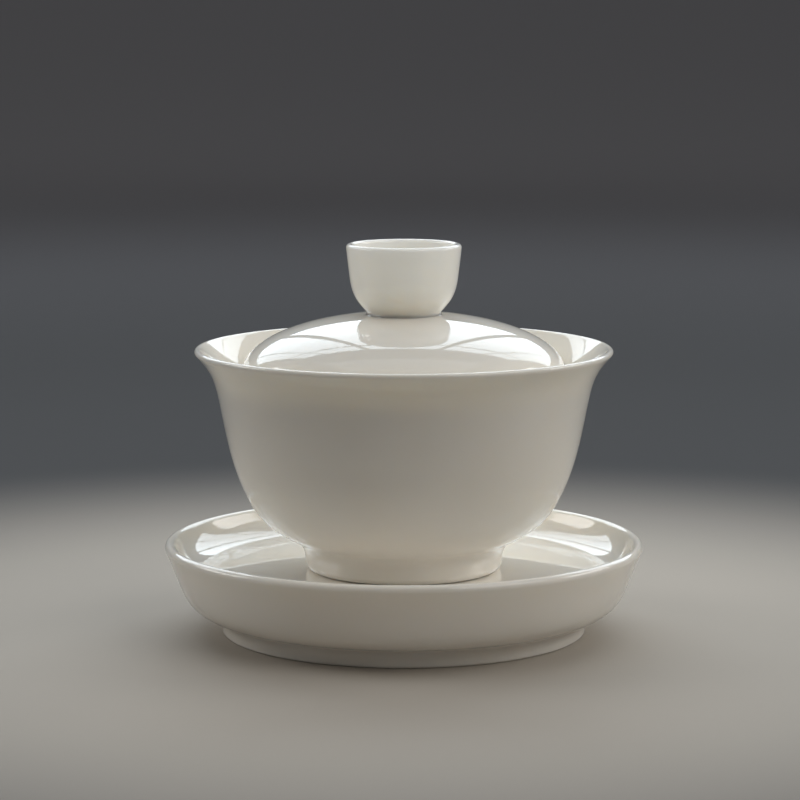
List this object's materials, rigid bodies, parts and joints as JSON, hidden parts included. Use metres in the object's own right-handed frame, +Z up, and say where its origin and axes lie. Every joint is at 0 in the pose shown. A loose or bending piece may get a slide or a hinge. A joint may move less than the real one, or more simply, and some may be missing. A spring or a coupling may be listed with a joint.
{
  "type": "gaiwan",
  "caption": "Lidded porcelain tea bowl with flared lip and foot ring, standing loose on a dished saucer; domed lid with a hollow cup-shaped knob.",
  "frame": {"origin": "centre of the circle on which the saucer's foot ring stands", "axes": "+Z up along the axis that every piece is turned about; all pieces are round, so X and Y are alike"},
  "size_m": [0.1126, 0.1126, 0.0915],
  "materials": {
    "glaze": "clear high-gloss glaze over ivory-white translucent porcelain; the flats of the foot rings are unglazed"
  },
  "bodies": {
    "saucer": {"saucer": "glaze"},
    "bowl": {"bowl": "glaze"},
    "lid": {"lid_dome": "glaze", "lid_knob": "glaze"}
  },
  "joints": [
    {"name": "bowl_lift", "type": "slide", "parent": "saucer", "child": "bowl", "axis": [0, 0, 1], "range_m": [0, 0.06]},
    {"name": "lid_lift", "type": "slide", "parent": "bowl", "child": "lid", "axis": [0, 0, 1], "range_m": [0, 0.08]}
  ]
}
